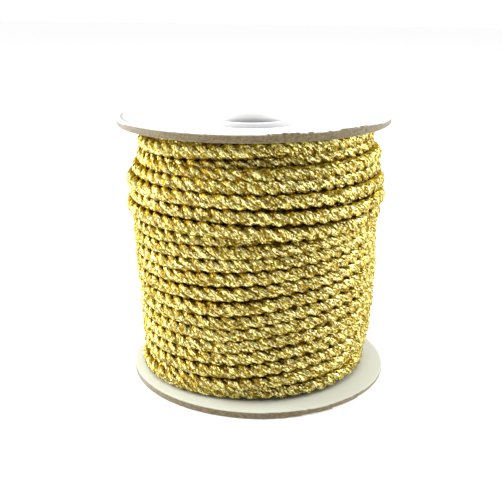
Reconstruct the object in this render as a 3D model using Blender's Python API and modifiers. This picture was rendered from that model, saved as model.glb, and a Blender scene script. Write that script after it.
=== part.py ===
"""A spool of three-strand metallic twisted cord: two board discs, a paper tube and the wound cord.

Metres, +Z up. The spool stands on its bottom disc. Angles are in degrees round the spool, with 0 at the
front (-Y) and +90 at the right (+X). Everything is worked out on a straight spool, and one lean is then
given to all of it, because the discs of the real spool are not quite in line.
"""

import math

import bmesh
import bpy
import numpy as np
from mathutils import Vector

MM = 0.001
GAP = 0.3 * MM

# Discs
TOP_RADIUS = 37.5 * MM
BOTTOM_RADIUS = 36.8 * MM
DISC_THICKNESS = 2.0 * MM
DISC_EDGE = 0.25 * MM
DISC_HOLE = 12.6 * MM
SPOOL_HEIGHT = 73.8 * MM
# The tube draws the middle of the top disc down by this much at its lip, in a curve of this power
HUB_DROP = 2.2 * MM
DROP_POWER = 1.5

# Tube, with a lip rolled out over the top disc
BORE_RADIUS = 10.3 * MM
TUBE_RADIUS = 12.3 * MM
LIP_RADIUS = 14.2 * MM
LIP_HEIGHT = 0.95 * MM
LIP_STEPS = 6

# Lean of the spool: how far the two discs are off its middle, and the slopes of the top disc
BOTTOM_ASIDE = 1.65 * MM
BOTTOM_FORWARD = 0.6 * MM
TOP_ASIDE = -0.95 * MM
TOP_RISE_TO_RIGHT = 0.021
TOP_RISE_TO_BACK = 0.007

# Cord and winding
CORD_RADIUS = 1.82 * MM
# A turn's round back is drawn down to this share of the cord's radius, and out to this many radii beside it
VALLEY_SHARE = 0.42
REACH_SHARE = 1.25
UNDER_LAYER_RADIUS = 29.6 * MM
WINDING_BORE = TUBE_RADIUS + GAP
WINDING_BOTTOM = DISC_THICKNESS + GAP
WINDING_TOP = 71.0 * MM
WINDING_TOP_AT_BORE = 69.0 * MM

# Faces that meet at less than these angles are shaded as one
EDGE_ANGLE = math.radians(40.0)
RIDGE_ANGLE = math.radians(75.0)

# Mesh steps
DISC_STEPS = 72
DISC_RINGS = 7
TUBE_STEPS = 48
WINDING_COLUMNS = 60
ROWS_PER_TURN = 4

# Each turn of the cord, from the bottom up and then back down over the top ones. The four heights of its
# middle are at -60, -20, 20 and 60 degrees, the three radii of its middle are at -60, 0 and 60 degrees,
# and lift is how far it rides out over other turns at the back. All in millimetres.
TURN_COLUMNS = ("far_left", "left", "right", "far_right", "out_left", "out_front", "out_right", "lift")
TURNS = (
    (4.2, 4.2, 4.5, 4.7, 32.6, 29.9, 29.2, 0.0),
    (5.8, 6.2, 9.0, 10.2, 30.9, 31.4, 30.2, 0.0),
    (9.4, 10.2, 12.9, 14.1, 31.8, 31.5, 31.0, 0.0),
    (13.2, 14.1, 16.7, 17.7, 31.9, 31.7, 31.3, 0.0),
    (16.8, 17.4, 20.4, 21.2, 32.0, 31.9, 31.8, 0.0),
    (20.4, 20.7, 23.9, 25.0, 32.1, 32.0, 32.0, 0.0),
    (23.9, 24.1, 27.3, 28.8, 32.1, 32.2, 32.2, 0.0),
    (27.4, 27.9, 30.9, 32.4, 32.4, 32.5, 32.5, 0.0),
    (31.2, 32.0, 34.6, 35.9, 32.8, 32.6, 32.4, 0.0),
    (34.9, 36.0, 38.0, 39.2, 32.7, 32.7, 32.3, 0.0),
    (38.3, 39.8, 41.4, 42.7, 32.8, 32.8, 32.4, 0.0),
    (41.9, 43.2, 44.7, 45.7, 33.0, 32.9, 32.6, 0.0),
    (45.4, 46.4, 48.3, 49.2, 32.9, 31.8, 31.2, 0.0),
    (49.1, 50.0, 52.0, 52.9, 31.2, 31.2, 31.2, 0.0),
    (52.8, 53.6, 55.6, 56.5, 31.1, 31.1, 31.1, 0.0),
    (56.4, 57.2, 59.2, 60.1, 31.0, 31.0, 31.0, 0.0),
    (60.0, 60.8, 62.8, 63.7, 30.6, 30.9, 31.2, 0.0),
    (63.7, 64.4, 66.0, 66.3, 29.6, 29.7, 31.2, 0.0),
    (67.2, 68.2, 69.0, 69.1, 30.3, 30.5, 30.9, 2.6),
    (62.8, 62.8, 63.2, 63.6, 30.6, 32.3, 33.3, 0.0),
    (59.7, 60.2, 60.4, 60.2, 32.2, 33.4, 33.0, 0.0),
    (56.7, 56.9, 57.0, 57.0, 34.0, 34.1, 34.2, 0.0),
    (53.4, 53.3, 52.0, 51.9, 33.5, 34.1, 34.5, 0.0),
    (49.7, 49.6, 48.4, 48.2, 34.3, 34.3, 33.9, 0.0),
)
HEIGHT_ANGLES = (-60.0, -20.0, 20.0, 60.0)
RADIUS_ANGLES = (-60.0, 0.0, 60.0)
# Where the cord's two ends are tucked in at the back: angle past the front, height, radius
START_TUCK = (-170.0, 4.2, 29.4)
END_TUCK = (165.0, 47.6, 30.6)

# The turns that show, from the bottom up. The mesh rows follow them over the front half of the spool, and
# close into level rings behind it.
SHOWING = (*range(13), 23, 22, 21, 20, 19, 17, 18)
# This turn slips under the outer ones, so its mesh row keeps halfway between the rows beside it
SLIPPING = 12
FRONT_HALF = 100.0


def material(name, colour, roughness, metallic=0.0):
    made = bpy.data.materials.new(name)
    made.use_nodes = True
    shader = made.node_tree.nodes["Principled BSDF"]
    shader.inputs["Base Color"].default_value = (*colour, 1.0)
    shader.inputs["Roughness"].default_value = roughness
    shader.inputs["Metallic"].default_value = metallic
    return made


def leaned(point):
    """The place on the leaning spool of a point of the straight one."""
    share = point.z / SPOOL_HEIGHT
    slope = TOP_RISE_TO_RIGHT * point.x + TOP_RISE_TO_BACK * point.y
    aside = BOTTOM_ASIDE * (1 - share) + TOP_ASIDE * share
    return Vector((point.x + aside, point.y - BOTTOM_FORWARD * (1 - share), point.z + slope * share))


def finish(mesh, name, finish_material, smooth_below=EDGE_ANGLE):
    """An object of this mesh in the spool's collection, leaned, with its faces smooth except at edges."""
    for vertex in mesh.vertices:
        vertex.co = leaned(vertex.co)
    shape = bmesh.new()
    shape.from_mesh(mesh)
    bmesh.ops.recalc_face_normals(shape, faces=shape.faces)
    shape.to_mesh(mesh)
    shape.free()
    mesh.name = name
    mesh.shade_smooth()
    mesh.set_sharp_from_angle(angle=smooth_below)
    mesh.materials.clear()
    mesh.materials.append(finish_material)
    made = bpy.data.objects.new(name, mesh)
    spool.objects.link(made)
    return made


def turned(profile, steps):
    """The mesh of a closed profile of (radius, height) points turned round Z with a Screw modifier."""
    outline = bpy.data.meshes.new("profile")
    points = [(radius, 0.0, height) for radius, height in profile]
    edges = [(i, (i + 1) % len(points)) for i in range(len(points))]
    outline.from_pydata(points, edges, [])
    guide = bpy.data.objects.new("profile", outline)
    bpy.context.scene.collection.objects.link(guide)
    screw = guide.modifiers.new("turn", "SCREW")
    screw.steps = steps
    screw.render_steps = steps
    screw.use_merge_vertices = True
    screw.merge_threshold = 0.00001
    graph = bpy.context.evaluated_depsgraph_get()
    mesh = bpy.data.meshes.new_from_object(guide.evaluated_get(graph))
    bpy.data.objects.remove(guide)
    return mesh


def drop_at(radius):
    """How far the top disc is drawn down at this radius."""
    return HUB_DROP * (max(TOP_RADIUS - radius, 0.0) / (TOP_RADIUS - LIP_RADIUS)) ** DROP_POWER


def disc(name, underside, disc_radius, drawn_down):
    """A board disc with a centre hole and slightly broken outer edges, flat or drawn down at its middle."""
    top = underside + DISC_THICKNESS
    rings = np.linspace(DISC_HOLE, disc_radius - DISC_EDGE, DISC_RINGS if drawn_down else 2)
    drops = [drop_at(radius) if drawn_down else 0.0 for radius in rings]
    upper_face = [(radius, top - drop) for radius, drop in zip(rings, drops)]
    lower_face = [(radius, underside - drop) for radius, drop in zip(rings, drops)]
    rim = [(disc_radius, top - DISC_EDGE), (disc_radius, underside + DISC_EDGE)]
    return finish(turned(upper_face + rim + lower_face[::-1], DISC_STEPS), name, board)


def tube():
    """The paper tube: flush in the bottom disc, and rolled out over the top disc to a rounded lip."""
    lip_foot = SPOOL_HEIGHT - HUB_DROP + GAP
    lip_middle = (BORE_RADIUS + LIP_RADIUS) / 2
    lip_half = (LIP_RADIUS - BORE_RADIUS) / 2
    rise = LIP_HEIGHT - GAP
    angles = [math.pi * step / LIP_STEPS for step in range(LIP_STEPS + 1)]
    lip = [(lip_middle - lip_half * math.cos(a), lip_foot + rise * math.sin(a)) for a in angles]
    shank = [(TUBE_RADIUS, lip_foot), (TUBE_RADIUS, 0.0), (BORE_RADIUS, 0.0)]
    return finish(turned(lip + shank, TUBE_STEPS), "core", paper)


def smooth_through(known, values, wanted):
    """A curve through the known points that never overshoots them (cubic, with limited slopes)."""
    known = np.asarray(known)
    values = np.asarray(values)
    steps = np.diff(known)
    slopes = np.diff(values) / steps
    same_way = slopes[1:] * slopes[:-1] > 0
    mean = 2 * slopes[1:] * slopes[:-1] / np.where(same_way, slopes[1:] + slopes[:-1], 1.0)
    tangents = np.concatenate([slopes[:1], np.where(same_way, mean, 0.0), slopes[-1:]])
    at = np.clip(np.searchsorted(known, wanted, side="right") - 1, 0, len(steps) - 1)
    step = steps[at]
    t = (wanted - known[at]) / step
    return (
        values[at] * (1 + 2 * t) * (1 - t) ** 2
        + values[at + 1] * t * t * (3 - 2 * t)
        + step * (tangents[at] * t * (1 - t) ** 2 - tangents[at + 1] * t * t * (1 - t))
    )


def cord_route():
    """Two functions of the angle run round the spool: the height and the radius of the cord's middle."""
    heights = [(START_TUCK[0], START_TUCK[1])]
    radii = [(START_TUCK[0], START_TUCK[2])]
    for number, row in enumerate(TURNS):
        turn = dict(zip(TURN_COLUMNS, row))
        begin = 360.0 * number
        across = (turn["far_left"], turn["left"], turn["right"], turn["far_right"])
        heights += [(begin + angle, height) for angle, height in zip(HEIGHT_ANGLES, across)]
        out = (turn["out_left"], turn["out_front"], turn["out_right"])
        radii += [(begin + angle, radius) for angle, radius in zip(RADIUS_ANGLES, out)]
        if turn["lift"]:
            radii.append((begin + 180.0, turn["out_right"] + turn["lift"]))
    last = 360.0 * (len(TURNS) - 1)
    heights.append((last + END_TUCK[0], END_TUCK[1]))
    radii.append((last + END_TUCK[0], END_TUCK[2]))

    def height_at(angle):
        return smooth_through(*zip(*heights), angle) * MM

    def radius_at(angle):
        return smooth_through(*zip(*radii), angle) * MM

    return height_at, radius_at, last + END_TUCK[0]


def outer_radius(angle, heights, route):
    """The winding's radius at these heights: the furthest out of the round backs of all the turns."""
    height_at, radius_at, end = route
    passes = np.arange(len(TURNS) + 1) * 360.0 + angle
    passes = passes[(passes >= START_TUCK[0]) & (passes <= end)]
    across = (heights[:, None] - height_at(passes)[None, :]) / CORD_RADIUS
    back = np.sqrt(np.maximum(1.0 - across**2, VALLEY_SHARE**2)) * CORD_RADIUS
    reach = np.where(np.abs(across) < REACH_SHARE, radius_at(passes)[None, :] + back, UNDER_LAYER_RADIUS)
    return np.maximum(reach.max(axis=1), UNDER_LAYER_RADIUS)


def row_heights(angle, height_at):
    """The heights of the mesh rows at this angle: the turns that show, and even steps between them."""
    turns = 360.0 * np.array(SHOWING)
    if abs(angle) <= FRONT_HALF:
        middles = height_at(turns + angle)
    else:
        behind = (angle % 360.0 - FRONT_HALF) / (360.0 - 2 * FRONT_HALF)
        share = behind * behind * (3 - 2 * behind)
        middles = (1 - share) * height_at(turns + FRONT_HALF) + share * height_at(turns - FRONT_HALF)
    slipping = SHOWING.index(SLIPPING)
    middles[slipping] = min(middles[slipping], (middles[slipping - 1] + middles[slipping + 1]) / 2)
    # The two ends of the winding lie half a turn's thickness beyond the first and last turns
    places = np.concatenate([[-0.5], np.arange(len(SHOWING)), [len(SHOWING) - 0.5]])
    known = np.concatenate([[WINDING_BOTTOM], middles, [WINDING_TOP]])
    rows = np.linspace(places[0], places[-1], len(SHOWING) * ROWS_PER_TURN + 1)
    return np.interp(rows, places, known)


def wound_cord():
    """The winding: one ring, a loft of a different section at each angle."""
    route = cord_route()
    points = []
    for column in range(WINDING_COLUMNS):
        angle = -180.0 + 360.0 * column / WINDING_COLUMNS
        heights = row_heights(angle, route[0])
        radii = outer_radius(angle, heights, route)
        bore = [(WINDING_BORE, WINDING_TOP_AT_BORE), (WINDING_BORE, WINDING_BOTTOM)]
        section = [*zip(radii, heights), *bore]
        sine = math.sin(math.radians(angle))
        cosine = math.cos(math.radians(angle))
        points += [(radius * sine, -radius * cosine, height) for radius, height in section]
    size = len(section)
    faces = []
    for column in range(WINDING_COLUMNS):
        here = column * size
        there = (column + 1) % WINDING_COLUMNS * size
        for row in range(size):
            above = (row + 1) % size
            faces.append((here + row, there + row, there + above, here + above))
    mesh = bpy.data.meshes.new("winding")
    mesh.from_pydata(points, [], faces)
    return finish(mesh, "winding", gold, RIDGE_ANGLE)


for old in list(bpy.data.objects):
    bpy.data.objects.remove(old, do_unlink=True)

spool = bpy.data.collections.new("twisted cord spool")
bpy.context.scene.collection.children.link(spool)

board = material("white faced board", (0.82, 0.80, 0.72), 0.75)
paper = material("white paper tube", (0.90, 0.90, 0.88), 0.6)
gold = material("gold metallic cord", (0.72, 0.50, 0.13), 0.38, 0.7)

disc("flange_bottom", 0.0, BOTTOM_RADIUS, False)
disc("flange_top", SPOOL_HEIGHT - DISC_THICKNESS, TOP_RADIUS, True)
tube()
wound_cord()
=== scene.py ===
import math

import bpy
import numpy as np
from mathutils import Matrix, Vector


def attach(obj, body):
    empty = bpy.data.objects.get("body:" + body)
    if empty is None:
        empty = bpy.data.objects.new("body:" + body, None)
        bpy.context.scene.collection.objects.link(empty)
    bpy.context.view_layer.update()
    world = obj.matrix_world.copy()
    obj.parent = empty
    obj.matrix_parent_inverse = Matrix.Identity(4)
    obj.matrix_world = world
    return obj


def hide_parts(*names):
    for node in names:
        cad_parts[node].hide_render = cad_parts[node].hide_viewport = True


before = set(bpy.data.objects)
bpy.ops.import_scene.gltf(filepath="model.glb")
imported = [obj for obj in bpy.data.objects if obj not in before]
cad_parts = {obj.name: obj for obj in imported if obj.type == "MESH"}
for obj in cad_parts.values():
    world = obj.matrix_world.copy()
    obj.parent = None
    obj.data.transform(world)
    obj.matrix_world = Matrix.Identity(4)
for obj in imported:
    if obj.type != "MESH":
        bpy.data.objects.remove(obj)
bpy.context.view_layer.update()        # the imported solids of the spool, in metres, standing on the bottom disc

mm = 0.001
print("spool: frame loaded")


# The photograph's view, fitted to the outlines of both discs and to the rows of cord
camera = {
    "spot": (1.45 * mm, -226.18 * mm, 104.45 * mm),
    "down": 0.2903,          # radians below level
    "yaw": 0.0109,
    "pitch": -0.0125,
    "roll": -0.0182,
    "focalPixels": 818.57,   # for a frame 502 pixels wide
    "frameWidth": 502,
    "sensor": 36.0,
    "clip": (0.01, 20.0),
}


def addCamera(name):
    # Level view, lowered by "down", then turned about its own up, right and forward axes in that order
    forward = Vector((0.0, math.cos(camera["down"]), -math.sin(camera["down"])))
    right = Vector((1.0, 0.0, 0.0))
    up = right.cross(forward)
    for axisName, angle in (("up", camera["yaw"]), ("right", camera["pitch"]), ("forward", camera["roll"])):
        axis = {"up": up, "right": right, "forward": forward}[axisName].copy()
        turn = Matrix.Rotation(angle, 3, axis)
        forward, right, up = turn @ forward, turn @ right, turn @ up
    data = bpy.data.cameras.new(name)
    data.sensor_width = camera["sensor"]
    data.lens = camera["focalPixels"] / camera["frameWidth"] * camera["sensor"]
    data.clip_start, data.clip_end = camera["clip"]
    made = bpy.data.objects.new(name, data)
    turned = Matrix((right, up, -forward)).transposed()
    made.matrix_world = Matrix.Translation(camera["spot"]) @ turned.to_4x4()
    bpy.context.scene.collection.objects.link(made)
    bpy.context.scene.camera = made


lights = {
    # name: (place in metres, width, height, watts)
    "leftBox": ((-0.62, 0.12, 0.21), 0.60, 0.60, 7.1),
    "rightBox": ((0.60, 0.12, 0.30), 0.30, 0.40, 2.45),
    "topBox": ((0.0, -0.30, 0.80), 0.40, 0.40, 3.0),
}
lookAt = Vector((0.0, 0.0, 0.037))


def addLight(name, place, width, height, watts):
    data = bpy.data.lights.new(name, "AREA")
    data.shape = "RECTANGLE"
    data.size, data.size_y, data.energy = width, height, watts
    made = bpy.data.objects.new(name, data)
    made.location = place
    made.rotation_mode = "QUATERNION"
    made.rotation_quaternion = (lookAt - Vector(place)).to_track_quat("-Z", "Y")
    bpy.context.scene.collection.objects.link(made)


class Wire:
    # An output socket. Sums and products of it add Math nodes, and numbers may stand on either side.
    def __init__(self, finish, socket):
        self.finish, self.socket = finish, socket

    def maths(self, kind, first, second):
        return self.finish.node("ShaderNodeMath", {"operation": kind}, {0: first, 1: second})

    def __add__(self, other):
        return self.maths("ADD", self, other)

    def __radd__(self, other):
        return self.maths("ADD", other, self)

    def __sub__(self, other):
        return self.maths("SUBTRACT", self, other)

    def __rsub__(self, other):
        return self.maths("SUBTRACT", other, self)

    def __mul__(self, other):
        return self.maths("MULTIPLY", self, other)

    def __rmul__(self, other):
        return self.maths("MULTIPLY", other, self)


class Finish:
    # The nodes of one material, or of the world
    def __init__(self, owner):
        owner.use_nodes = True
        self.owner, self.tree = owner, owner.node_tree
        self.tree.nodes.clear()

    def node(self, kind, settings=None, sockets=None, output=0):
        made = self.tree.nodes.new(kind)
        for key, value in (settings or {}).items():
            if key == "stops":
                ramp = made.color_ramp
                while len(ramp.elements) < len(value):
                    ramp.elements.new(0.5)
                for element, (place, colour) in zip(ramp.elements, value):
                    element.position = place
                    element.color = (*colour, 1.0)
            else:
                setattr(made, key, value)
        for key, value in (sockets or {}).items():
            if isinstance(value, Wire):
                self.tree.links.new(value.socket, made.inputs[key])
            elif isinstance(value, tuple) and len(value) == 3 and made.inputs[key].type == "RGBA":
                made.inputs[key].default_value = (*value, 1.0)
            else:
                made.inputs[key].default_value = value
        return Wire(self, made.outputs[output]) if made.outputs else None

    def mark(self, name):
        # Three numbers that a mesh carries at each of its points
        return self.node("ShaderNodeAttribute", {"attribute_name": name}, None, "Vector")

    def parts(self, vector):
        split = self.node("ShaderNodeSeparateXYZ", None, {0: vector})
        return [Wire(self, socket) for socket in split.socket.node.outputs]

    def vectors(self, kind, *sockets):
        return self.node("ShaderNodeVectorMath", {"operation": kind}, dict(enumerate(sockets)))

    def mixColour(self, share, first, second, way="MIX"):
        settings = {"data_type": "RGBA", "blend_type": way, "clamp_factor": True}
        return self.node("ShaderNodeMix", settings, {0: share, 6: first, 7: second}, 2)

    def tinted(self, share, colour, tint):
        # The colour goes over into itself times the tint
        return self.mixColour(share, colour, self.mixColour(1.0, colour, tint, "MULTIPLY"))

    def ramp(self, share, stops):
        return self.node("ShaderNodeValToRGB", {"stops": stops}, {0: share})

    def between(self, value, low, high):
        # 0 below low, 1 above high, smooth between
        settings = {"interpolation_type": "SMOOTHSTEP", "clamp": True}
        return self.node("ShaderNodeMapRange", settings, {0: value, 1: low, 2: high, 3: 0.0, 4: 1.0})

    def noise(self, vector, scale, detail, rough=0.5):
        sockets = {"Vector": vector, "Scale": scale, "Detail": detail, "Roughness": rough}
        return self.node("ShaderNodeTexNoise", None, sockets)

    def cells(self, vector):
        # One random colour for each cell, about one cell to a unit
        return self.node("ShaderNodeTexVoronoi", {"feature": "F1"}, {"Vector": vector, "Scale": 1.0}, "Color")

    def bump(self, height, depth, strength):
        return self.node("ShaderNodeBump", None, {"Height": height, "Distance": depth, "Strength": strength})

    def close(self, sockets):
        shader = self.node("ShaderNodeBsdfPrincipled", None, sockets)
        self.node("ShaderNodeOutputMaterial", None, {"Surface": shader})
        return self.owner


def gridMesh(name, points, material, ends, marks):
    # points is sections x columns x 3. Columns close round each section, and the two end sections are
    # closed with a fan to their middles, or join each other where ends is False. marks holds what the
    # material reads: three numbers for each point, by name.
    sections, columns = points.shape[:2]
    flat = points.reshape(-1, 3)
    here = np.arange(sections * columns).reshape(sections, columns)
    if ends:
        first, second = here[:-1], here[1:]
    else:
        first, second = here, np.roll(here, -1, axis=0)
    quads = np.stack([first, second, np.roll(second, -1, axis=1), np.roll(first, -1, axis=1)], axis=-1)
    corners = quads.reshape(-1)
    starts = np.arange(0, corners.size, 4)
    if ends:
        poles = np.stack([points[0].mean(axis=0), points[-1].mean(axis=0)])
        low, high = here[0], here[-1]
        lowFan = np.stack([low, np.roll(low, -1), np.full(columns, flat.shape[0])], axis=-1)
        highFan = np.stack([np.roll(high, -1), high, np.full(columns, flat.shape[0] + 1)], axis=-1)
        fans = np.concatenate([lowFan, highFan]).reshape(-1)
        starts = np.concatenate([starts, corners.size + np.arange(0, fans.size, 3)])
        corners = np.concatenate([corners, fans])
        flat = np.concatenate([flat, poles])
    mesh = bpy.data.meshes.new(name)
    mesh.vertices.add(flat.shape[0])
    mesh.vertices.foreach_set("co", flat.astype(np.float32).ravel())
    mesh.loops.add(corners.size)
    mesh.loops.foreach_set("vertex_index", corners.astype(np.int32))
    mesh.polygons.add(starts.size)
    mesh.polygons.foreach_set("loop_start", starts.astype(np.int32))
    mesh.update(calc_edges=True)
    mesh.polygons.foreach_set("use_smooth", np.ones(starts.size, dtype=bool))
    for mark, values in marks.items():
        spread = values.reshape(-1, 3)
        if ends:
            spread = np.concatenate([spread, values[0].mean(axis=0)[None], values[-1].mean(axis=0)[None]])
        layer = mesh.attributes.new(mark, "FLOAT_VECTOR", "POINT")
        layer.data.foreach_set("vector", spread.astype(np.float32).ravel())
    mesh.materials.append(material)
    mesh.validate()
    made = bpy.data.objects.new(name, mesh)
    bpy.context.scene.collection.objects.link(made)
    return made


def stand(piece, slot, *nodes):
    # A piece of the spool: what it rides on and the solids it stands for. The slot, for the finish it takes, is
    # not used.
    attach(piece, "root")
    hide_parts(*nodes)
    faces = sum(len(p.vertices) - 2 for p in piece.data.polygons)
    print(f"spool: {piece.name} {faces} triangles")
    return faces


spool = {
    "height": 73.8 * mm,
    "bottomAside": 1.65 * mm,      # the foot stands to the right and a little forward of the middle ...
    "bottomForward": 0.6 * mm,
    "topAside": -0.95 * mm,        # ... and the top to the left of it
    "topRiseRight": 0.021,         # slope of the top disc
    "topRiseBack": 0.007,
}


def leaned(points):
    # The leaning spool: shifts that change evenly from the bottom disc to the top one, which slopes
    share = points[..., 2] / spool["height"]
    slope = spool["topRiseRight"] * points[..., 0] + spool["topRiseBack"] * points[..., 1]
    shifted = points.copy()
    shifted[..., 0] += spool["bottomAside"] * (1 - share) + spool["topAside"] * share
    shifted[..., 1] -= spool["bottomForward"] * (1 - share)
    shifted[..., 2] += slope * share
    return shifted


def roundTheAxis(steps):
    # Equal angles once round, from the front towards the right
    return np.arange(steps) * 2 * math.pi / steps


cord = {
    "radius": 1.82 * mm,
    "reachLimit": 1.90 * mm,       # no yarn stands out further than this from the cord's middle
    "strandOffset": 0.82 * mm,     # from the cord's middle to a strand's middle
    "strandRadius": 1.00 * mm,
    "lay": 11.4 * mm,              # length of cord in which a strand goes once round
    "layDrift": 0.05,              # share by which the lay changes along the cord
    "driftLengths": (83 * mm, 211 * mm),   # of two slow waves that it follows
    "driftShift": 1.0,
    "columns": 36,
    "sectionsPerLay": 32,
    "hiddenColumns": 18,
    "hiddenSectionsPerLay": 12,
    "squash": 1.08,                # neighbouring turns press each other wider than they are deep
    "crinkle": 0.06 * mm,          # relief of the metal yarns
    "crinkleBlur": 1,
    "lump": 0.03 * mm,             # slower swells
    "lumpBlur": (12, 3),           # along the cord and round it
    "tangentStep": 0.5,            # degrees either way
    "startTuck": (-170.0, 4.2, 29.4),      # where an end is tucked in: degrees, height, radius
    "endTuck": (165.0, 47.6, 30.6),
    "heightAngles": (-60.0, -20.0, 20.0, 60.0),
    "radiusAngles": (-60.0, 0.0, 60.0),
    "pieceEnds": (3, 7, 11, 12, 16, 19),   # the pieces meet at the back after these turns
    "hiddenTurns": (13, 16),               # first and last of those that lie wholly under others
    "seed": 11,
}

# Heights of the cord's middle at -60, -20, 20 and 60 degrees, its radii at -60, 0 and 60 degrees, and
# how far it rides out over other turns at the back, all in millimetres, from the bottom turn upwards and
# then back down over the top ones. 0 degrees is the front and +90 the right.
turnColumns = ("farLeft", "left", "right", "farRight", "outLeft", "outFront", "outRight", "lift")
turns = (
    (4.2, 4.2, 4.5, 4.7, 32.6, 29.9, 29.2, 0.0),
    (5.8, 6.2, 9.0, 10.2, 30.9, 31.4, 30.2, 0.0),
    (9.4, 10.2, 12.9, 14.1, 31.8, 31.5, 31.0, 0.0),
    (13.2, 14.1, 16.7, 17.7, 31.9, 31.7, 31.3, 0.0),
    (16.8, 17.4, 20.4, 21.2, 32.0, 31.9, 31.8, 0.0),
    (20.4, 20.7, 23.9, 25.0, 32.1, 32.0, 32.0, 0.0),
    (23.9, 24.1, 27.3, 28.8, 32.1, 32.2, 32.2, 0.0),
    (27.4, 27.9, 30.9, 32.4, 32.4, 32.5, 32.5, 0.0),
    (31.2, 32.0, 34.6, 35.9, 32.8, 32.6, 32.4, 0.0),
    (34.9, 36.0, 38.0, 39.2, 32.7, 32.7, 32.3, 0.0),
    (38.3, 39.8, 41.4, 42.7, 32.8, 32.8, 32.4, 0.0),
    (41.9, 43.2, 44.7, 45.7, 33.0, 32.9, 32.6, 0.0),
    (45.4, 46.4, 48.3, 49.2, 32.9, 32.2, 32.1, 0.0),
    (49.1, 50.0, 52.0, 52.9, 31.2, 31.2, 31.2, 0.0),
    (52.8, 53.6, 55.6, 56.5, 31.1, 31.1, 31.1, 0.0),
    (56.4, 57.2, 59.2, 60.1, 31.0, 31.0, 31.0, 0.0),
    (60.0, 60.8, 62.8, 63.7, 30.6, 30.9, 31.2, 0.0),
    (63.7, 64.4, 66.0, 66.3, 29.6, 29.7, 31.2, 0.0),
    (67.2, 68.2, 69.0, 69.1, 30.3, 30.5, 30.9, 2.6),
    (62.8, 62.8, 63.2, 63.6, 30.6, 32.3, 33.3, 0.0),
    (59.7, 60.2, 60.4, 60.2, 32.2, 33.4, 33.0, 0.0),
    (56.7, 56.9, 56.8, 56.7, 34.0, 34.1, 34.2, 0.0),
    (53.4, 53.3, 52.6, 52.4, 33.5, 34.1, 34.5, 0.0),
    (49.7, 49.6, 48.6, 48.4, 34.3, 34.2, 33.7, 0.0),
)


def smoothThrough(known, values, wanted):
    # A cubic through the known points whose slopes are limited, so that it never overshoots them
    known, values = np.asarray(known), np.asarray(values)
    steps = np.diff(known)
    slopes = np.diff(values) / steps
    sameWay = slopes[1:] * slopes[:-1] > 0
    mean = 2 * slopes[1:] * slopes[:-1] / np.where(sameWay, slopes[1:] + slopes[:-1], 1.0)
    tangents = np.concatenate([slopes[:1], np.where(sameWay, mean, 0.0), slopes[-1:]])
    at = np.clip(np.searchsorted(known, wanted, side="right") - 1, 0, len(steps) - 1)
    step = steps[at]
    t = (wanted - known[at]) / step
    return (values[at] * (1 + 2 * t) * (1 - t) ** 2 + values[at + 1] * t * t * (3 - 2 * t)
            + step * (tangents[at] * t * (1 - t) ** 2 - tangents[at + 1] * t * t * (1 - t)))


def routePoints():
    # Known heights and radii of the cord's middle against the angle run round the spool
    heights = [cord["startTuck"][:2]]
    radii = [(cord["startTuck"][0], cord["startTuck"][2])]
    for number, row in enumerate(turns):
        turn = dict(zip(turnColumns, row))
        begin = 360.0 * number
        across = (turn["farLeft"], turn["left"], turn["right"], turn["farRight"])
        heights += [(begin + angle, height) for angle, height in zip(cord["heightAngles"], across)]
        out = (turn["outLeft"], turn["outFront"], turn["outRight"])
        radii += [(begin + angle, radius) for angle, radius in zip(cord["radiusAngles"], out)]
        if turn["lift"]:
            radii.append((begin + 180.0, turn["outRight"] + turn["lift"]))
    last = 360.0 * (len(turns) - 1)
    heights.append((last + cord["endTuck"][0], cord["endTuck"][1]))
    radii.append((last + cord["endTuck"][0], cord["endTuck"][2]))
    return tuple(zip(*heights)), tuple(zip(*radii))


def cordMiddle(angle, heights, radii):
    # Points on the cord's middle, from its radius and height at each angle round the axis
    radius = smoothThrough(*radii, angle) * mm
    height = smoothThrough(*heights, angle) * mm
    turn = np.radians(angle)
    return np.stack([radius * np.sin(turn), -radius * np.cos(turn), height], axis=-1)


def routeTable():
    # The cord's middle at 1 degree steps, with the length run to each and the twist there. The lay
    # drifts a little, by the product of two slow waves.
    heights, radii = routePoints()
    first, last = heights[0][0], heights[0][-1]
    angle = np.linspace(first, last, int(last - first) + 1)
    middle = cordMiddle(angle, heights, radii)
    run = np.concatenate([[0.0], np.cumsum(np.linalg.norm(np.diff(middle, axis=0), axis=1))])
    quick, slow = cord["driftLengths"]
    drift = 1 + cord["layDrift"] * np.sin(run / quick) * np.sin(run / slow + cord["driftShift"])
    twist = 2 * math.pi * np.concatenate([[0.0], np.cumsum(np.diff(run) / (cord["lay"] * drift[1:]))])
    return {"heights": heights, "radii": radii, "angle": angle, "run": run, "twist": twist}


def strandProfile(columns):
    # Section of three strands pressed together: equal steps along the arcs of three circles, from one
    # valley, where two circles meet, to the next. Gives each column's direction and distance from the
    # cord's middle.
    offset, radius = cord["strandOffset"], cord["strandRadius"]
    valley = offset * 0.5 + math.sqrt(radius**2 - 0.75 * offset**2)
    half = math.atan2(valley * math.sin(math.pi / 3), valley * 0.5 - offset)
    arc = np.linspace(-half, half, columns // 3, endpoint=False)
    x = offset + radius * np.cos(arc)
    y = radius * np.sin(arc)
    direction = np.concatenate([np.arctan2(y, x) + third * 2 * math.pi / 3 for third in range(3)])
    return direction, np.tile(np.hypot(x, y), 3)


def blurred(values, along, times):
    # Neighbours shared 1:2:1, several times, along a direction given as (sections, columns)
    for _ in range(times):
        back = np.roll(values, along, axis=(0, 1))
        ahead = np.roll(values, (-along[0], -along[1]), axis=(0, 1))
        values = 0.25 * back + 0.5 * values + 0.25 * ahead
    return values / values.std()


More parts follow.
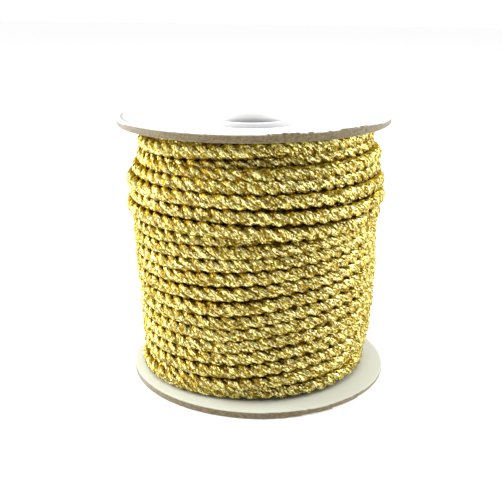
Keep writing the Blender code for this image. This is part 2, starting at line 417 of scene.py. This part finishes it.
def cordStretch(name, fromAngle, toAngle, table, material, columns, perLay, seed):
    # The section of three strands, carried along the route and turned with the twist. A little lumpy
    # and crinkled relief is added outwards, from seeded random numbers blurred along the yarns.
    lengthFrom, lengthTo = np.interp([fromAngle, toAngle], table["angle"], table["run"])
    sections = int((lengthTo - lengthFrom) / cord["lay"] * perLay) + 1
    run = np.linspace(lengthFrom, lengthTo, sections)
    angle = np.interp(run, table["run"], table["angle"])
    middle, before, after = (cordMiddle(angle + step, table["heights"], table["radii"])
                             for step in (0.0, -cord["tangentStep"], cord["tangentStep"]))
    tangent = after - before
    tangent /= np.linalg.norm(tangent, axis=1)[:, None]
    turn = np.radians(angle)
    outward = np.stack([np.sin(turn), -np.cos(turn), np.zeros_like(turn)], axis=-1)
    outward -= tangent * (tangent * outward).sum(axis=1)[:, None]
    outward /= np.linalg.norm(outward, axis=1)[:, None]
    side = np.cross(tangent, outward)
    direction, distance = strandProfile(columns)
    phi = direction[None, :] + np.interp(run, table["run"], table["twist"])[:, None]
    random = np.random.default_rng(seed)
    crinkle = blurred(random.standard_normal(phi.shape), (1, 0), cord["crinkleBlur"])
    blurAlong, blurRound = cord["lumpBlur"]
    lump = blurred(blurred(random.standard_normal(phi.shape), (1, 0), blurAlong), (0, 1), blurRound)
    reach = distance[None, :] + cord["crinkle"] * crinkle + cord["lump"] * lump
    reach = np.minimum(reach, cord["reachLimit"])
    points = (middle[:, None, :]
              + (reach * np.cos(phi))[..., None] * outward[:, None, :]
              + (reach * cord["squash"] * np.sin(phi))[..., None] * side[:, None, :])
    # The pattern turns with the strands, so its flakes lie along them
    place = (run[:, None], reach * np.cos(direction), reach * np.sin(direction))
    # How far each point faces round towards the neighbouring turns, and how deep it lies between strands: the
    # finish paints shade by these
    rowDepth = np.clip(1 - np.cos(phi), 0, 1)
    strandDepth = (cord["radius"] - distance) / cord["radius"]
    marks = {"cordPlace": np.stack(np.broadcast_arrays(*place), axis=-1) / mm,
             "cordDepth": np.stack(np.broadcast_arrays(rowDepth, strandDepth[None, :], crinkle), axis=-1)}
    return gridMesh(name, leaned(points), material, True, marks)


def addCord(material):
    # The whole cord in pieces that meet at the back, with fewer faces where other turns hide it
    table = routeTable()
    print(f"spool: {table['run'][-1]:.3f} m of cord in the turns that are modelled")
    cuts = [table["angle"][0], *(360.0 * turn + 180.0 for turn in cord["pieceEnds"]), table["angle"][-1]]
    firstHidden, lastHidden = (360.0 * turn for turn in cord["hiddenTurns"])
    faces = 0
    for number, (begin, end) in enumerate(zip(cuts[:-1], cuts[1:])):
        hidden = begin >= firstHidden - 180.0 and end <= lastHidden + 180.0
        columns = cord["hiddenColumns"] if hidden else cord["columns"]
        perLay = cord["hiddenSectionsPerLay"] if hidden else cord["sectionsPerLay"]
        piece = cordStretch(f"cord_turns_{number + 1}", begin, end, table, material,
                            columns, perLay, cord["seed"] + number)
        faces += stand(piece, "cord", "winding")
    return faces


# What the metal yarns look like. Sizes are in cells to a millimetre: along the strand, then across it.
# A step gives where it begins, where it is complete and how much it then adds or takes.
metalYarn = {
    "flakes": (1.2, 1.9, 1.9),
    "chips": (2.4, 3.0, 3.0),          # smaller flakes, which carry most of the light and dark
    "chipShift": (7.3, 0.0, 0.0),      # so that the two sizes don't fall together
    "patches": (0.35, 0.45, 0.45),     # slow changes of hue
    "evenTone": 0.14,
    "flakeTone": 0.06,
    # how much lighter raised crinkles are and darker hollow ones: painted light and shade
    "crinkleShadeTone": 0.01,
    "chipStep": (0.38, 0.62, 0.80),
    "rowShadeStep": (0.38, 0.58, 0.52),     # painted shade between turns ...
    "strandShadeStep": (0.24, 0.36, 0.50),  # ... and painted shade between strands
    "copperStep": (1.24, 1.36, 0.7),
    "copperTint": (0.54, 0.40, 0.46),
    "oliveStep": (-0.10, -0.30, 0.45),
    "oliveTint": (0.78, 0.90, 0.70),
    "tones": (
        (0.00, (0.330, 0.185, 0.008)),
        (0.12, (0.260, 0.156, 0.008)),
        (0.24, (0.270, 0.182, 0.014)),
        (0.45, (0.560, 0.430, 0.057)),
        (0.65, (0.860, 0.740, 0.188)),
        (0.85, (0.970, 0.905, 0.410)),
    ),
    "flakeTilt": 0.3,
    "chipTilt": 1.0,
    "metallic": 0.93,
    "roughness": 0.35,
    "chipGloss": 0.08,                 # bright chips are smoother by up to this
    "edgeTint": (0.97, 0.84, 0.42),
}


def goldCordFinish():
    # Metal yarns: short flakes of two sizes along the yarns, from dark brown through gold to cream
    gold = Finish(bpy.data.materials.new("gold metal yarn"))

    def step(value, key):
        low, high, size = metalYarn[key]
        return gold.between(value, low, high) * size

    def tilt(random, size):
        # The random colour, from 0 to 1 in each part, as a lean of up to half the size either way
        return gold.vectors("MULTIPLY_ADD", random, (size,) * 3, (-size / 2,) * 3)

    place = gold.mark("cordPlace")
    rowDepth, strandDepth, crinkle = gold.parts(gold.mark("cordDepth"))
    flakeRandom = gold.cells(gold.vectors("MULTIPLY", place, metalYarn["flakes"]))
    flakeTone, flakeHue, _ = gold.parts(flakeRandom)
    chipPlace = gold.vectors("MULTIPLY", place, metalYarn["chips"])
    chipRandom = gold.cells(gold.vectors("ADD", chipPlace, metalYarn["chipShift"]))
    chipTone, chipHue, _ = gold.parts(chipRandom)
    patch = gold.noise(gold.vectors("MULTIPLY", place, metalYarn["patches"]), scale=1.0, detail=1.0)
    tone = step(chipTone, "chipStep") + flakeTone * metalYarn["flakeTone"]
    # Painted light and shade on the relief: raised crinkles a little lighter, hollows a little darker
    tone = tone + crinkle * metalYarn["crinkleShadeTone"] + metalYarn["evenTone"]
    # Painted shade: darker towards the neighbouring turns and in the valleys between strands
    tone = tone - step(rowDepth, "rowShadeStep") - step(strandDepth, "strandShadeStep")
    colour = gold.ramp(tone, metalYarn["tones"])
    colour = gold.tinted(step(flakeHue + patch, "copperStep"), colour, metalYarn["copperTint"])
    colour = gold.tinted(step(chipHue - patch, "oliveStep"), colour, metalYarn["oliveTint"])
    # Every flake is a flat facet tilted its own way
    facing = gold.node("ShaderNodeNewGeometry", None, None, "Normal")
    tilted = gold.vectors("ADD", facing, tilt(flakeRandom, metalYarn["flakeTilt"]))
    tilted = gold.vectors("ADD", tilted, tilt(chipRandom, metalYarn["chipTilt"]))
    return gold.close({"Base Color": colour, "Metallic": metalYarn["metallic"],
                       "Roughness": metalYarn["roughness"] - chipTone * metalYarn["chipGloss"],
                       "Specular Tint": metalYarn["edgeTint"],
                       "Normal": gold.vectors("NORMALIZE", tilted)})


underLayer = {
    "heights": (2.3, 5.0, 8.0, 14.0, 24.0, 33.0, 44.0, 48.0, 50.0, 62.0, 66.0, 70.9),     # mm
    "radii": (28.0, 28.9, 29.7, 30.1, 30.4, 30.8, 31.1, 30.2, 29.6, 29.4, 28.6, 28.2),
    "bore": 12.6 * mm,
    "bottom": 2.3 * mm,
    "top": 70.9 * mm,
    "topAtBore": 69.0 * mm,
    "pitch": 3.65 * mm,
    "depth": 1.0 * mm,
    "steps": 180,
    "rows": 76,
    "patternRadius": 29.0,     # mm, where the pattern has its true length
    "paintedShade": 0.3,       # painted shade, as dark as half-way down between strands
}


def addUnderLayer(material):
    # The turns beneath the ones that show: a ring whose outside follows theirs and swells once for each
    # turn, with the swell rising one pitch in each turn round
    theta = roundTheAxis(underLayer["steps"])
    height = np.linspace(underLayer["bottom"], underLayer["top"], underLayer["rows"])
    rise = height[:, None] / underLayer["pitch"] - theta[None, :] / (2 * math.pi)
    crown = np.interp(height / mm, underLayer["heights"], underLayer["radii"]) * mm
    radius = crown[:, None] - underLayer["depth"] * (1 - np.abs(np.sin(math.pi * rise)))
    heights = np.broadcast_to(height[:, None], radius.shape)
    bore = np.full((1, radius.shape[1]), underLayer["bore"])
    radius = np.concatenate([bore, radius, bore])
    heights = np.concatenate([heights[:1], heights, np.full((1, radius.shape[1]), underLayer["topAtBore"])])
    points = np.stack([radius * np.sin(theta), -radius * np.cos(theta), heights], axis=-1)
    points = points.transpose(1, 0, 2)
    along = np.broadcast_to((theta * underLayer["patternRadius"])[:, None], points.shape[:2])
    # The whole under layer is darkened with painted shade, as between strands
    marks = {"cordPlace": np.stack([along, np.zeros_like(along), points[..., 2] / mm], axis=-1),
             "cordDepth": np.full(points.shape, underLayer["paintedShade"])}
    return gridMesh("under_layer", leaned(points), material, False, marks)


discs = {
    "topRadius": 37.5 * mm,
    "bottomRadius": 36.5 * mm,
    "bottomForward": 0.6 * mm,     # the bottom disc stands this much forward of the tube's foot
    "thickness": 2.0 * mm,
    "hole": 12.6 * mm,
    "edge": 0.40 * mm,
    "hubDrop": 2.2 * mm,       # the tube's lip draws the top disc's middle down by this much
    "dropPower": 1.5,
    "rings": (0.0, 0.03, 0.07, 0.13, 0.22, 0.35, 0.50, 0.65, 0.80),     # shares of the way to the rim
    "rimRings": (2.4, 1.35, 1.0, 0.65, 0.3, 0.0),                       # mm in from the rounded edge
    "steps": 480,
    "fray": 0.02 * mm,
    "wave": 0.10 * mm,         # three slow waves round the rim
    "burr": 0.10 * mm,         # board turned up along the top disc's rim ...
    "burrRagged": 0.04 * mm,   # ... and how unevenly
    "raggedMost": (2.0, 1.6),  # where the noise is cut off for the burr and for the frays
    "bareAbove": 0.22 * mm,    # a burr as high as this shows bare board
    "bareShares": (0.0, 0.3, 0.9) + (1.0,) * 8,       # bare edge, from the top face's end round the rim
    "burrShares": (0.5, 1.0, 1.0, 0.9, 0.6, 0.3),     # burr, which begins two rings before that end
    "paintedShadowShares": (0.7, 1.0, 0.7),                    # painted shadow line, which begins five rings before it
    "paintedLightShares": {"over": 0.7, "wrap": 0.9},         # how much the painted light pales the bare edge
    "seeds": {"bottom": 5, "top": 6},
}

# Where the top disc's rim is frayed most: degrees round from the front, width in degrees, height in mm
frays = ((6.0, 2.0, 0.25), (12.0, 3.5, 0.32), (16.5, 2.5, 0.30), (22.0, 3.0, 0.16), (31.0, 2.5, 0.20),
         (37.0, 2.5, 0.36), (41.0, 2.0, 0.24), (46.0, 2.5, 0.34), (52.0, 3.0, 0.22), (58.0, 2.5, 0.18))

# What changes round the rims, as degrees from the front and values there
rimTables = {
    "burr": ((48.0, 64.0, 200.0, 300.0), (1.0, 0.2, 0.2, 1.0)),
    "paintedShadowLine": ((262.0, 270.0, 298.0, 308.0), (0.0, 1.0, 1.0, 0.0)),
    "paintedSideHighlight": ((45.0, 65.0), (0.0, 0.5)),      # mm down the rim that the painted highlight reaches, both ways round
    "paintedFloorLight": ((2.0, 25.0, 50.0, 75.0, 110.0, 140.0), (0.0, 0.55, 1.05, 1.35, 1.30, 0.0)),     # mm up the rim that the painted floor light reaches
}

paper = {
    "mottle": (700.0, 3.0, 0.6),       # scale, detail and roughness of the noise
    "mottleShare": 0.25,
    "mottleTint": (0.9, 0.9, 0.9),
    "fibres": (1300.0, 4.0, 0.7),
    "fibresFlat": (1.0, 1.0, 2.5),     # fibres lie flat in the board
    "fibresRange": (0.38, 0.62),
    # Noise, range and tint of the painted shadow line inside the top disc's rim
    "paintedShadowLine": (90.0, 1.0),
    "paintedShadowRange": (0.30, 0.50),
    "paintedShadowTint": (0.20, 0.20, 0.18),
    "reliefDepth": 0.05 * mm,
    "reliefStrength": 0.35,
    "roughness": 0.62,
    "mottleRoughness": 0.15,
    "sheen": 0.35,
    "sheenRoughness": 0.5,
}


def boardFinish(name, faceColour, innerShadeColour, cutOrShadeColour, darkest):
    # Paper over board: mottled faces, a second colour where the piece's mark says so, and a cut edge
    # whose fibres go down to the given share of its colour. On the discs' faces towards the winding the
    # second colour is partly the board's own cream and partly painted shade, with painted light bounced
    # off the gold. In the tube the second colour is painted shade down the bore, and the cut colour is
    # painted shade on the lip's front slope.
    board = Finish(bpy.data.materials.new(name))
    place = board.node("ShaderNodeTexCoord", None, None, "Object")
    cutOrShadeShare, innerShadeShare, paintedShadowShare = board.parts(board.mark("edgeShare"))
    mottle = board.noise(place, *paper["mottle"])
    fibres = board.noise(board.vectors("MULTIPLY", place, paper["fibresFlat"]), *paper["fibres"])
    face = board.mixColour(innerShadeShare, faceColour, innerShadeColour)
    face = board.tinted(mottle * paper["mottleShare"], face, paper["mottleTint"])
    # A faint painted shadow line, broken by noise, where the mark says so
    paintedShadowLine = paintedShadowShare * board.between(board.noise(place, *paper["paintedShadowLine"]), *paper["paintedShadowRange"])
    face = board.tinted(paintedShadowLine, face, paper["paintedShadowTint"])
    darkFibre = tuple(part * darkest for part in cutOrShadeColour)
    cut = board.mixColour(board.between(fibres, *paper["fibresRange"]), darkFibre, cutOrShadeColour)
    return board.close({"Base Color": board.mixColour(cutOrShadeShare, face, cut),
                        "Roughness": paper["roughness"] + mottle * paper["mottleRoughness"],
                        "Normal": board.bump(fibres, paper["reliefDepth"], paper["reliefStrength"]),
                        "Sheen Weight": paper["sheen"], "Sheen Roughness": paper["sheenRoughness"]})


def hubDropAt(radius):
    # How far the top disc is drawn down: a power of the way in from its rim to the tube's lip
    reach = discs["topRadius"] - tube["lipRadius"]
    return discs["hubDrop"] * (np.maximum(discs["topRadius"] - radius, 0) / reach) ** discs["dropPower"]


def discProfile(radius, drawnDown):
    # (radius, height) from the hole out over the top face, round the rim and back in below. Both faces
    # may be drawn down towards the hub, by a power of the distance from the rim. Along with it go the
    # shares of bare edge, of burr and of a painted shadow line.
    hole, edge, thickness = (discs[key] for key in ("hole", "edge", "thickness"))
    faceRadii = hole + (radius - edge - hole) * np.array(discs["rings"])
    faceRadii = np.concatenate([faceRadii, radius - edge - np.array(discs["rimRings"]) * mm])
    rings = len(faceRadii)
    drop = hubDropAt(faceRadii) if drawnDown else np.zeros(rings)
    turnIn = np.linspace(0, math.pi / 2, 5)
    topRound = np.stack([radius - edge + edge * np.sin(turnIn[1:]),
                         thickness - edge + edge * np.cos(turnIn[1:])], -1)
    sideHeights = np.linspace(thickness - edge, edge, 5)[1:-1]
    side = np.stack([np.full(len(sideHeights), radius), sideHeights], -1)
    lowRound = np.stack([radius - edge + edge * np.cos(turnIn[:-1]), edge - edge * np.sin(turnIn[:-1])], -1)
    topFace = np.stack([faceRadii, thickness - drop], -1)
    lowFace = np.stack([faceRadii, -drop], -1)[::-1]
    profile = np.concatenate([topFace, topRound, side, lowRound, lowFace])
    bare, burr, paintedShadowLine = np.zeros((3, len(profile)))
    bare[rings:-rings] = discs["bareShares"]
    burr[rings - 2:rings + 4] = discs["burrShares"]
    paintedShadowLine[rings - 5:rings - 2] = discs["paintedShadowShares"]
    return profile, bare, burr, paintedShadowLine


def burrHeight(degrees, ragged):
    # Board turned up along the rim: even, ragged by noise, and highest at the frays, which are bells
    burrMost, frayMost = discs["raggedMost"]
    rise = discs["burr"] + discs["burrRagged"] * np.minimum(ragged, burrMost)
    for place, width, height in frays:
        bell = np.exp(-((degrees - place) / width) ** 2)
        rise += height * mm * bell * (1 + np.minimum(ragged, frayMost)) / 2
    return rise * np.interp(degrees, *rimTables["burr"])


def addDisc(name, underside, radius, drawnDown, material, seed):
    # The profile turned round the axis, with a rim that is a little frayed by seeded noise. The disc
    # that is drawn down is the top one, and has the burr.
    profile, bare, burrShare, paintedShadowShare = discProfile(radius, drawnDown)
    theta = roundTheAxis(discs["steps"])
    degrees = np.degrees(theta)
    random = np.random.default_rng(seed)
    fray = blurred(random.standard_normal((discs["steps"], len(profile))), (1, 0), 1) * discs["fray"]
    wave = discs["wave"] * np.sin(3 * theta + seed)[:, None]
    reach = profile[None, :, 0] + np.where(bare > 0, fray + wave * bare, 0.0)
    reach = np.minimum(reach, radius)
    ragged = np.abs(blurred(random.standard_normal((discs["steps"], 1)), (1, 0), 1))[:, 0]
    burr = burrHeight(degrees, ragged)[:, None] * burrShare[None, :]
    height = profile[None, :, 1]
    heights = np.broadcast_to(underside + height + (burr if drawnDown else 0.0), reach.shape)
    points = np.stack([reach * np.sin(theta)[:, None], -reach * np.cos(theta)[:, None], heights], -1)
    cut = np.clip(bare[None, :] + (burr > discs["bareAbove"]) * (bare[None, :] > 0), 0, 1)
    below = np.arange(len(profile)) > len(profile) // 2
    if drawnDown:
        # At both ends the top of the rim is painted paler, a painted highlight where the rounded edge catches
        # grazing light, and inside the rim on the left is a faint painted shadow line
        over = np.interp(np.minimum(degrees, 360 - degrees), *rimTables["paintedSideHighlight"])[:, None] * mm
        cut = cut * (1 - discs["paintedLightShares"]["over"] * (height > discs["thickness"] - over))
        paintedShadowLine = paintedShadowShare[None, :] * np.interp(degrees, *rimTables["paintedShadowLine"])[:, None]
        # The underside, towards the winding, takes the second colour, which is partly painted shade
        shadedFace = below
    else:
        # On the right the lower part of the rim is painted paler: painted light from the bright floor
        points[..., 1] -= discs["bottomForward"]
        wrap = np.interp(degrees, *rimTables["paintedFloorLight"])[:, None] * mm
        cut = cut * (1 - discs["paintedLightShares"]["wrap"] * (height < wrap))
        paintedShadowLine = np.zeros((1, 1))
        # The upper face, towards the winding, takes the second colour: darker and yellower, partly painted shade
        # and painted light bounced off the gold
        shadedFace = ~below
    marks = {"edgeShare": np.stack(np.broadcast_arrays(cut, shadedFace[None, :], paintedShadowLine), -1)}
    return gridMesh(name, leaned(points), material, False, marks)


tube = {
    "bore": 10.3 * mm,
    "radius": 12.3 * mm,
    "insideTo": 12.2 * mm,     # what is nearer the axis than this counts as the bore
    "lipRadius": 14.2 * mm,
    "lipHeight": 1.2 * mm,
    "lipSink": 0.1 * mm,       # the lip's outer edge sinks this far into the dished disc
    "flare": 1.9 * mm,         # how far down the bore the rolled edge begins
    "boreShadeFrom": 2.2 * mm,      # this far below the lip the painted shade down the bore begins
    "boreShadeOver": 0.5 * mm,      # and over this depth it turns quite grey
    "frontSlopeShade": (0.4, 0.8, 1.0, 1.0, 1.0, 1.0, 1.0, 1.0),     # painted shade down the lip's outer slope, at the front
    "slopePower": 1.5,         # how fast that painted shade fades towards the sides
    "lipPoints": 17,
    "wallPoints": 16,
    "steps": 180,
}


def addTube(material):
    # A thin tube. Its top edge flares out of the bore in one quarter ellipse and comes down on the top
    # disc in another.
    foot = spool["height"] - discs["hubDrop"]
    middle = (tube["bore"] + tube["lipRadius"]) / 2
    half = (tube["lipRadius"] - tube["bore"]) / 2
    angle = np.linspace(0, math.pi, tube["lipPoints"])
    low = np.where(angle < math.pi / 2, -tube["flare"], -tube["lipSink"])
    high = tube["lipHeight"] - low
    lip = np.stack([middle - half * np.cos(angle), foot + low + high * np.sin(angle)], -1)
    down = np.linspace(0.0, 1.0, tube["wallPoints"]) ** 2
    up = down[:0:-1]
    outside = np.stack([np.full(len(down), tube["radius"]), foot * (1 - down)], -1)
    inside = np.stack([np.full(len(up), tube["bore"]), (foot - tube["flare"]) * (1 - up)], -1)
    profile = np.concatenate([lip, outside, inside])
    theta = roundTheAxis(tube["steps"])
    points = np.stack([profile[None, :, 0] * np.sin(theta)[:, None],
                       -profile[None, :, 0] * np.cos(theta)[:, None],
                       np.broadcast_to(profile[:, 1], (tube["steps"], len(profile)))], -1)
    # Painted shade: the inside of the tube greyer deeper down the bore, and the outer slope of the rolled edge
    # greyer towards the front
    under = foot + tube["lipHeight"] - tube["boreShadeFrom"] - profile[:, 1]
    bore = (profile[:, 0] < tube["insideTo"]) * np.clip(under / tube["boreShadeOver"], 0, 1)
    slope = np.zeros(len(profile))
    crest = tube["lipPoints"] // 2
    slope[crest + 1:tube["lipPoints"]] = tube["frontSlopeShade"]
    # The lip's painted shade is deepest at the front and fades towards the sides
    front = np.clip(np.cos(theta), 0, 1)[:, None] ** tube["slopePower"]
    shares = np.broadcast_arrays(slope[None, :] * front, bore[None, :], np.zeros((1, 1)))
    return gridMesh("core_tube", leaned(points), material, False, {"edgeShare": np.stack(shares, -1)})


sweep = {
    "floorReach": 3.0,
    "floorColour": (0.90, 0.90, 0.90),
    "floorRoughness": 0.9,
    "floorGlow": 0.25,
    "white": (1.0, 1.0, 1.0),
    "dim": (-0.6, 0.265),      # this far towards the camera, and the strength there
    "bright": (0.35, 1.15),    # and behind the spool
}


def addFloor():
    white = Finish(bpy.data.materials.new("white sweep"))
    material = white.close({"Base Color": sweep["floorColour"], "Roughness": sweep["floorRoughness"],
                            "Emission Color": sweep["white"], "Emission Strength": sweep["floorGlow"]})
    mesh = bpy.data.meshes.new("floor")
    reach = sweep["floorReach"]
    mesh.from_pydata([(-reach, -reach, 0), (reach, -reach, 0), (reach, reach, 0), (-reach, reach, 0)], [],
                     [(0, 1, 2, 3)])
    mesh.materials.append(material)
    floor = bpy.data.objects.new("floor", mesh)
    bpy.context.scene.collection.objects.link(floor)


def addWorld():
    # White behind the spool and above it, dim on the camera's side
    world = bpy.data.worlds.new("sweep")
    bpy.context.scene.world = world
    sky = Finish(world)
    _, ahead, _ = sky.parts(sky.node("ShaderNodeTexCoord", None, None, "Generated"))
    (dimAt, dim), (brightAt, bright) = sweep["dim"], sweep["bright"]
    strength = sky.node("ShaderNodeMapRange", {"interpolation_type": "SMOOTHSTEP"},
                        {0: ahead, 1: dimAt, 2: brightAt, 3: dim, 4: bright})
    light = sky.node("ShaderNodeBackground", None, {"Color": sweep["white"], "Strength": strength})
    sky.node("ShaderNodeOutputWorld", None, {"Surface": light})


addCamera("photo view")
for name, light in lights.items():
    addLight(name, *light)
addFloor()
addWorld()
bpy.context.scene.view_settings.view_transform = "Standard"
print("spool: camera, lights and sweep")

goldCord = goldCordFinish()
total = addCord(goldCord)
total += stand(addUnderLayer(goldCord), "cord", "winding")

# Colours of the faces, of the faces towards the winding (partly painted shade) and of the bore
# (painted shade), and of the cut edge, which in the tube is painted shade on the lip's front slope
whiteBoard = boardFinish("white faced board", (0.90, 0.90, 0.88), (0.665, 0.68, 0.585),
                         (0.235, 0.180, 0.078), darkest=0.45)
# In the tube the second colour is painted shade down the bore and the third is painted shade on the lip's front
# slope
whitePaper = boardFinish("white paper tube", (0.95, 0.95, 0.95), (0.50, 0.50, 0.48),
                         (0.50, 0.50, 0.52), darkest=0.95)
bottomDisc = addDisc("disc_bottom", 0.0, discs["bottomRadius"], False, whiteBoard, discs["seeds"]["bottom"])
total += stand(bottomDisc, "board", "flange_bottom")
topDisc = addDisc("disc_top", spool["height"] - discs["thickness"], discs["topRadius"], True, whiteBoard,
                  discs["seeds"]["top"])
total += stand(topDisc, "board", "flange_top")
total += stand(addTube(whitePaper), "paper", "core")
print(f"spool: {total} triangles in all")
